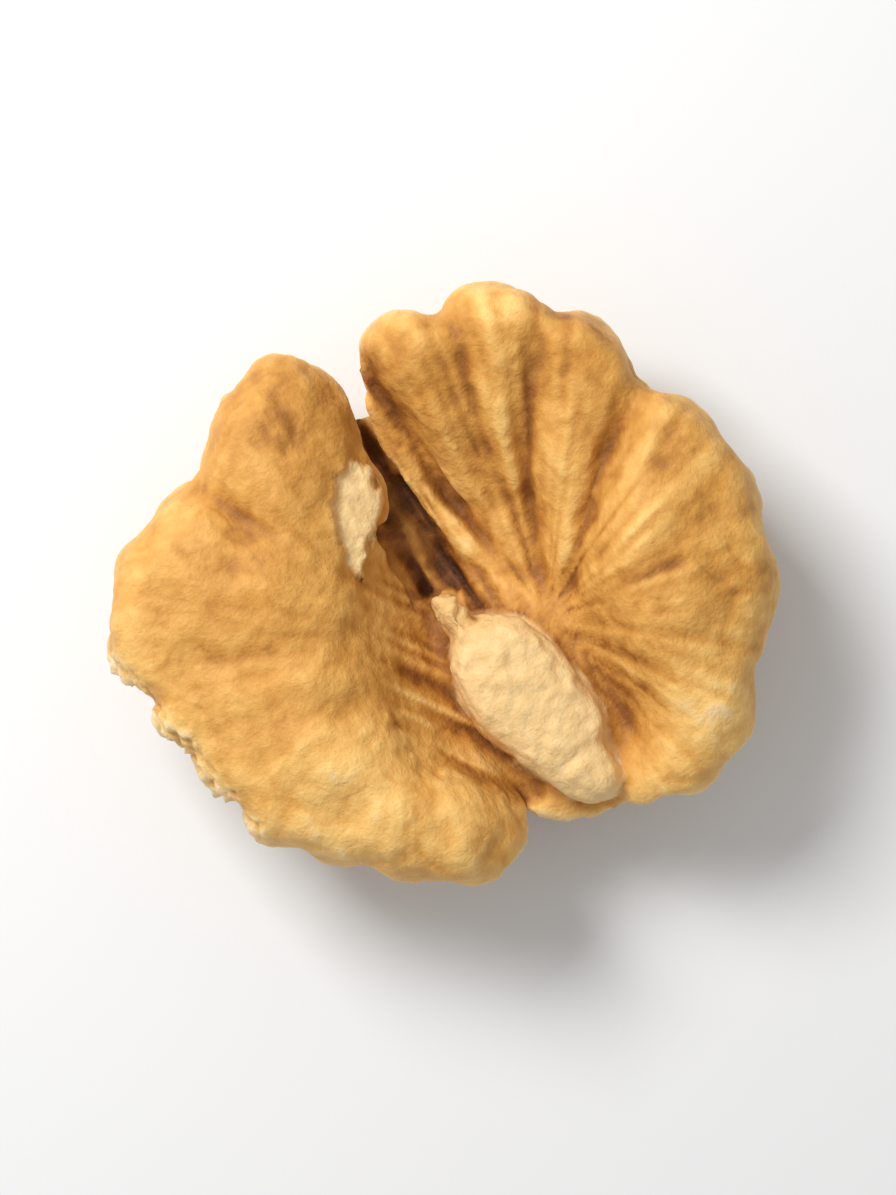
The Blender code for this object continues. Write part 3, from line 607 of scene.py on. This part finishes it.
def mapRegions(piece):
    # where each finish lies, as shares from 0 to 1 for every point
    places, normals = readSkin(piece)
    xy = places[:, :2]
    onFace = band("face", places[:, 2])
    up = band("upward", normals[:, 2]) * onFace
    edge = grains(places, "edgeGrain")
    scarInside = insideDistance(xy, kernel["scar"])
    fromGroove, _ = pathDistance(xy, smoothPath(kernel["groove"], kernel["detailSteps"]))
    fromFrayed, _ = pathDistance(xy, smoothPath(kernel["frayed"], kernel["detailSteps"]))

    groove = band("groove", fromGroove + edge) * band("groovePit", places[:, 2])
    groove *= band("groundUpward", normals[:, 2]) * band("awayFromScar", scarInside)
    across, along = kernel["slopeTurn"]
    stripes = streaks(xy @ (across, along), xy @ (-along, across), "slopeStripes")
    grooveStripes = streaks(xy[:, 0], xy[:, 1], "grooveStripes")
    stripes += (grooveStripes - stripes) * band("grooveStripes", groove)

    narrow, wide = kernel["slopeStep"]
    step = narrow + (wide - narrow) * band("slopeTop", xy[:, 1])
    slope = smoothStep(0, step, insideDistance(xy, kernel["slope"]) + kernel["slopeSpread"] + edge)
    # partly the skin's own blotches, partly painted light on spots that lie in shade
    patches = sum(strength * np.exp(-((xy - (x, y)) ** 2).sum(axis=1) / radius ** 2)
                  for x, y, radius, strength in kernel["patches"])
    return {
        "up": up,
        "scar": band("scar", scarInside + kernel["scarEdgeShare"] * edge) * onFace,
        "dome": band("scarDome", scarInside) * up,
        "spur": band("spurSkin", xy[:, 1]) * band("scarSpur", scarInside),
        "chip": band("chip", insideDistance(xy, kernel["chip"]) + edge) * up,
        "slope": slope * band("besideScar", scarInside) * onFace,
        "groove": groove,
        "frayed": band("frayed", fromFrayed + edge) * onFace,
        "patches": patches * up,
        "lines": mapFurrowShade(xy) * up,
        "rays": mapRays(xy) * up,
        "stripes": stripes}


def fineRelief(piece, regions):
    places, normals = readSkin(piece)
    skin = 1 - np.maximum(regions["scar"], regions["chip"])
    slopeRelief = kernel["slopeStripeHeight"] * regions["stripes"] - kernel["slopeDrop"]
    places[:, 2] += kernel["rayHeight"] * regions["rays"] * skin
    places[:, 2] += slopeRelief * regions["slope"] * skin
    places[:, 2] += kernel["chipShare"] * (kernel["chipLevel"] - places[:, 2]) * regions["chip"]
    places[:, 2] += kernel["scarDome"] * regions["dome"]
    places[:, 2] += grains(places, "crumbGrain") * (1 - skin)
    places[:, 2] += kernel["grooveStripeHeight"] * regions["stripes"] * regions["groove"]
    ragged = kernel["frayedHeight"] * regions["frayed"] + kernel["grooveHeight"] * regions["groove"]
    relief = grains(places, "skinGrain") * skin + grains(places, "raggedGrain") * ragged
    relief += grains(places, "scarGrain") * regions["scar"]
    relief += (grains(places, "spurGrain") - kernel["spurWear"]) * regions["spur"]
    places += normals * relief[:, None]
    writeSkin(piece, places)


def markSkin(piece, regions):
    # stores what the finish reads: regions, and hollows and crests for the painted shade in hollows and
    # the painted highlight on crests
    places, normals = readSkin(piece)
    spread = spreader(piece)
    for name, rounds, depth in kernel["hollows"]:
        around = np.stack([spread(places[:, axis], rounds) for axis in range(3)], axis=1)
        share = np.einsum("ij,ij->i", around - places, normals) / depth
        regions[name] = spread(share, rounds // 5)
    for name, values in regions.items():
        layer = piece.data.attributes.new(name, 'FLOAT', 'POINT')
        layer.data.foreach_set("value", values.astype(np.float32))


def fitToBox(piece, low, high):
    places, _ = readSkin(piece)
    size = np.ptp(places, axis=0)
    places = (places - places.min(axis=0)) / size * (np.array(high) - low) + low
    writeSkin(piece, places)


nut = join([wing(side) for side in ("right", "left", "web")] + [scarPlate()])
nut.name = "kernel_half"
drawSkin(nut, kernel["roughGrid"], kernel["roughSoftening"])
print("joined:", len(nut.data.polygons), "faces")
cutFurrows(nut)
growFolds(nut)
print("folds grown")
drawSkin(nut, kernel["skinGrid"], kernel["skinSoftening"])
regions = mapRegions(nut)
fineRelief(nut, regions)
markSkin(nut, regions)
fitToBox(nut, *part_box(kernel["node"]))
deselect()
nut.select_set(True)
bpy.ops.object.shade_smooth()
print("skin:", len(nut.data.polygons), "faces")


class Wire:
    # a node's output, so that shader maths reads as arithmetic
    tree = None

    def __init__(self, socket):
        self.socket = socket

    @classmethod
    def node(cls, kind, settings, sockets, output=0):
        made = cls.tree.nodes.new(kind)
        for name, value in settings.items():
            if name == "stops":
                ramp = made.color_ramp.elements
                while len(ramp) < len(value):
                    ramp.new(0.5)
                for stop, (place, colour) in zip(ramp, value):
                    stop.position = place
                    stop.color = colour
            else:
                setattr(made, name, value)
        for name, value in sockets.items():
            if isinstance(value, Wire):
                cls.tree.links.new(value.socket, made.inputs[name])
            else:
                made.inputs[name].default_value = value
        return cls(made.outputs[output])

    @classmethod
    def maths(cls, operation, one, other):
        return cls.node("ShaderNodeMath", {"operation": operation}, {0: one, 1: other})

    def __add__(self, other):
        return Wire.maths('ADD', self, other)

    def __radd__(self, other):
        return Wire.maths('ADD', other, self)

    def __sub__(self, other):
        return Wire.maths('SUBTRACT', self, other)

    def __rsub__(self, other):
        return Wire.maths('SUBTRACT', other, self)

    def __mul__(self, other):
        return Wire.maths('MULTIPLY', self, other)

    def __rmul__(self, other):
        return Wire.maths('MULTIPLY', other, self)

    def clamp(self, low=0.0, high=1.0):
        return Wire.node("ShaderNodeClamp", {}, {0: self, 1: low, 2: high})


def colour(red, green, blue):
    # screen colour from 0 to 255, as the linear colour that the shader wants
    shares = [part / 255 for part in (red, green, blue)]
    return (*[s / 12.92 if s < 0.04045 else ((s + 0.055) / 1.055) ** 2.4 for s in shares], 1)


def mixColour(share, one, other):
    return Wire.node("ShaderNodeMix", {"data_type": 'RGBA'}, {0: share, 6: one, 7: other}, output=2)


def mark(name):
    # one of the shares that markSkin stored on the points
    return Wire.node("ShaderNodeAttribute", {"attribute_name": name}, {}, output=2)


def grain(place, size, detail=2.0, roughness=0.5, distortion=0.0):
    # noise from about -1 to 1, with features of the given size in metres
    made = Wire.node("ShaderNodeTexNoise", {}, {
        "Vector": place, "Scale": 1 / size, "Detail": detail, "Roughness": roughness,
        "Distortion": distortion})
    return made * 2 - 1


finish = {
    "tones": [
        (0.00, colour(66, 34, 13)), (0.18, colour(106, 62, 26)), (0.36, colour(156, 100, 45)),
        (0.52, colour(198, 140, 66)), (0.66, colour(218, 164, 87)), (0.82, colour(235, 190, 114)),
        (1.00, colour(240, 211, 163))],
    "middleTone": 0.60,
    "flesh": colour(240, 209, 155),
    "fleshShade": colour(226, 186, 124),
    "gold": colour(208, 142, 52),
    "shine": 0.18,           # strength of the highlights
    "softness": 0.15,        # share of the light that spreads under the surface
    "softReach": (1.0, 0.5, 0.2),    # how far its red, green and blue go, in softScale
    "softScale": 0.001,
    "skinRoughness": 0.52,
    "fleshRoughness": 0.75,
    "mottleRoughness": 0.08,     # how far the mottle and the specks move the roughness
    "speckRoughness": 0.06,
    "bumpStrength": 0.48,
    "bumpDepth": 0.00018,
    # sizes of the grains in metres
    "stainSize": 0.0050,
    "mottleSize": 0.0012,
    "speckSize": 0.00035,
    "veinSize": 0.0045,
    "veinSharpness": 9,      # the higher, the thinner the veins
    "goldSize": 0.0034,
    "goldContrast": 1.6,     # the higher, the sharper the edges of the golden patches
    "goldLimit": 0.2,        # the higher, the fewer of them
    "goldShare": 0.35,       # how strongly they colour the skin
    "crumbSize": 0.0006,
    "crumbShade": 0.9,       # how strongly the crumbs shade the bare flesh
    "spurShade": 0.6,        # how much darker the flesh of the spur is
    "wrinkleSize": 0.0007,
    "fineWrinkleSize": 0.00022,
    "fineWrinkleShare": 0.4,     # share of the bump's height that the fine wrinkles take
    # how far each mark moves the tone
    "stainTone": 0.08,
    "mottleTone": 0.09,
    "speckTone": 0.07,
    "veinTone": 0.07,
    # painted shade in hollows and creases, and painted highlight on crests, on the back and on the
    # inner face
    "backShadeAndHighlight": 0.26,
    "faceShadeAndHighlight": 0.10,
    "backDeepShadeAndHighlight": 0.20,
    "faceDeepShadeAndHighlight": 0.08,
    "fineShadeAndHighlight": 0.07,
    "furrowShadeTone": 0.09,
    "rayTone": 0.07,
    "darkRayTone": 0.13,
    "darkRayFrom": 0.3,      # hollows between the rays deeper than this are darkened further
    "slopeTone": 0.03,
    "slopeStripeTone": 0.17,
    "frayedTone": 0.16,
    "grooveTone": 0.10,
    "grooveStripeTone": 0.12,
}


def walnutSkin():
    skin = bpy.data.materials.new("walnutSkin")
    skin.use_nodes = True
    Wire.tree = skin.node_tree
    surface = skin.node_tree.nodes["Principled BSDF"]
    place = Wire.node("ShaderNodeTexCoord", {}, {}, output=3)

    stains = grain(place, finish["stainSize"], 2)
    mottle = grain(place, finish["mottleSize"], 4, 0.6)
    specks = grain(place, finish["speckSize"], 3, 0.6)
    fromVein = Wire.node("ShaderNodeMath", {"operation": 'ABSOLUTE'}, {
        0: grain(place, finish["veinSize"], 3, 0.5, 0.5)})
    veins = (1 - finish["veinSharpness"] * fromVein).clamp()
    up = mark("up")
    rays = mark("rays")
    stripes = mark("stripes")
    # painted shade: darker in hollows and creases, more on the back than on the inner face; where the
    # hollow marks go below zero on crests, the same terms paint a lighter highlight
    hollowShadeAndHighlight = finish["backShadeAndHighlight"] - (finish["backShadeAndHighlight"] - finish["faceShadeAndHighlight"]) * up
    deepShadeAndHighlight = finish["backDeepShadeAndHighlight"] - (finish["backDeepShadeAndHighlight"] - finish["faceDeepShadeAndHighlight"]) * up
    darkRays = 0 - rays - finish["darkRayFrom"]
    tone = finish["middleTone"] + finish["stainTone"] * stains + finish["mottleTone"] * mottle
    tone = tone + finish["speckTone"] * specks - finish["veinTone"] * veins
    tone = tone - hollowShadeAndHighlight * mark("hollow").clamp(-1.0, 1.1)
    tone = tone - deepShadeAndHighlight * mark("deepHollow").clamp(-1.5, 1.5)
    tone = tone - finish["fineShadeAndHighlight"] * mark("fineHollow").clamp(-1.2, 1.2)
    # painted shade along the bottom of the furrows
    tone = tone - finish["furrowShadeTone"] * mark("lines")
    tone = tone + finish["rayTone"] * rays - finish["darkRayTone"] * darkRays.clamp()
    tone = tone + (finish["slopeStripeTone"] * stripes + finish["slopeTone"]) * mark("slope")
    tone = tone - (finish["grooveTone"] - finish["grooveStripeTone"] * stripes) * mark("groove")
    # the patches are partly the skin's own blotches and partly painted light on spots lying in shade
    tone = tone + mark("patches") + finish["frayedTone"] * mark("frayed")
    skinColour = Wire.node("ShaderNodeValToRGB", {"stops": finish["tones"]}, {0: tone.clamp()})
    gold = grain(place, finish["goldSize"], 3) * finish["goldContrast"] - finish["goldLimit"]
    skinColour = mixColour(finish["goldShare"] * gold.clamp(), skinColour, finish["gold"])
    crumbs = grain(place, finish["crumbSize"], 4, 0.7)
    shade = 0.5 + finish["crumbShade"] * crumbs + finish["spurShade"] * mark("spur")
    flesh = mixColour(shade.clamp(), finish["flesh"], finish["fleshShade"])
    bare = (mark("scar") + mark("chip")).clamp()
    Wire.tree.links.new(mixColour(bare, skinColour, flesh).socket, surface.inputs["Base Color"])

    roughness = finish["skinRoughness"] + finish["mottleRoughness"] * mottle
    roughness = roughness + finish["speckRoughness"] * specks
    roughness = roughness + bare * (finish["fleshRoughness"] - finish["skinRoughness"])
    Wire.tree.links.new(roughness.clamp().socket, surface.inputs["Roughness"])

    wrinkles = (1 - finish["fineWrinkleShare"]) * grain(place, finish["wrinkleSize"], 4, 0.6, 0.6)
    wrinkles = wrinkles + finish["fineWrinkleShare"] * grain(place, finish["fineWrinkleSize"], 3, 0.6)
    surface.inputs["Specular IOR Level"].default_value = finish["shine"]
    surface.inputs["Subsurface Weight"].default_value = finish["softness"]
    surface.inputs["Subsurface Radius"].default_value = finish["softReach"]
    surface.inputs["Subsurface Scale"].default_value = finish["softScale"]
    bump = Wire.node("ShaderNodeBump", {}, {
        "Strength": finish["bumpStrength"], "Distance": finish["bumpDepth"], "Height": wrinkles})
    Wire.tree.links.new(bump.socket, surface.inputs["Normal"])
    return skin


nut.data.materials.clear()
nut.data.materials.append(walnutSkin())
print("finish on")

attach(nut, "root")
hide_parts(kernel["node"])


studio = {
    "floorSize": 3.0,
    "floorColour": (0.8, 0.8, 0.8, 1),
    "floorRoughness": 0.9,
    "skyStrength": 0.50,
    "keyPower": 0.40,        # watts of the main light
    "keySize": 0.08,
    "keyHeight": 0.16,
    "keyTurn": 135,          # degrees from the right of the view to the side the light is on
    "keyReach": 0.13,
    "lens": 100,
    "frameWidth": 0.0427,    # how much the view shows from side to side
    "cameraRoll": -34.2,     # degrees that the camera is rolled round the vertical
    "imageSize": (896, 1195),
}


def makeFloor():
    deselect()
    bpy.ops.mesh.primitive_plane_add(size=studio["floorSize"], location=(0, 0, cadLow.z))
    floor = bpy.context.object
    floor.name = "floor"
    paint = bpy.data.materials.new("paper")
    paint.use_nodes = True
    paper = paint.node_tree.nodes["Principled BSDF"]
    paper.inputs["Base Color"].default_value = studio["floorColour"]
    paper.inputs["Roughness"].default_value = studio["floorRoughness"]
    floor.data.materials.append(paint)


def makeLight():
    sky = bpy.data.worlds.new("sky")
    sky.use_nodes = True
    sky.node_tree.nodes["Background"].inputs["Color"].default_value = (1, 1, 1, 1)
    sky.node_tree.nodes["Background"].inputs["Strength"].default_value = studio["skyStrength"]
    bpy.context.scene.world = sky
    turn = math.radians(studio["cameraRoll"] + studio["keyTurn"])
    place = Vector((math.cos(turn), math.sin(turn), 0)) * studio["keyReach"]
    place.z = studio["keyHeight"]
    bpy.ops.object.light_add(type='AREA', location=place)
    key = bpy.context.object
    key.data.energy = studio["keyPower"]
    key.data.size = studio["keySize"]
    key.rotation_euler = (-place).to_track_quat('-Z', 'Y').to_euler()


def makeCamera():
    wide, tall = studio["imageSize"]
    middle = (cadLow + cadHigh) / 2
    bpy.ops.object.camera_add()
    camera = bpy.context.object
    camera.data.lens = studio["lens"]
    camera.data.clip_start = 0.001
    distance = studio["frameWidth"] * tall / wide * studio["lens"] / camera.data.sensor_width
    camera.location = (middle.x, middle.y, cadHigh.z + distance)
    camera.rotation_euler = (0, 0, math.radians(studio["cameraRoll"]))
    bpy.context.scene.camera = camera


makeFloor()
makeLight()
makeCamera()
bpy.context.scene.view_settings.view_transform = 'Standard'
print("studio ready")
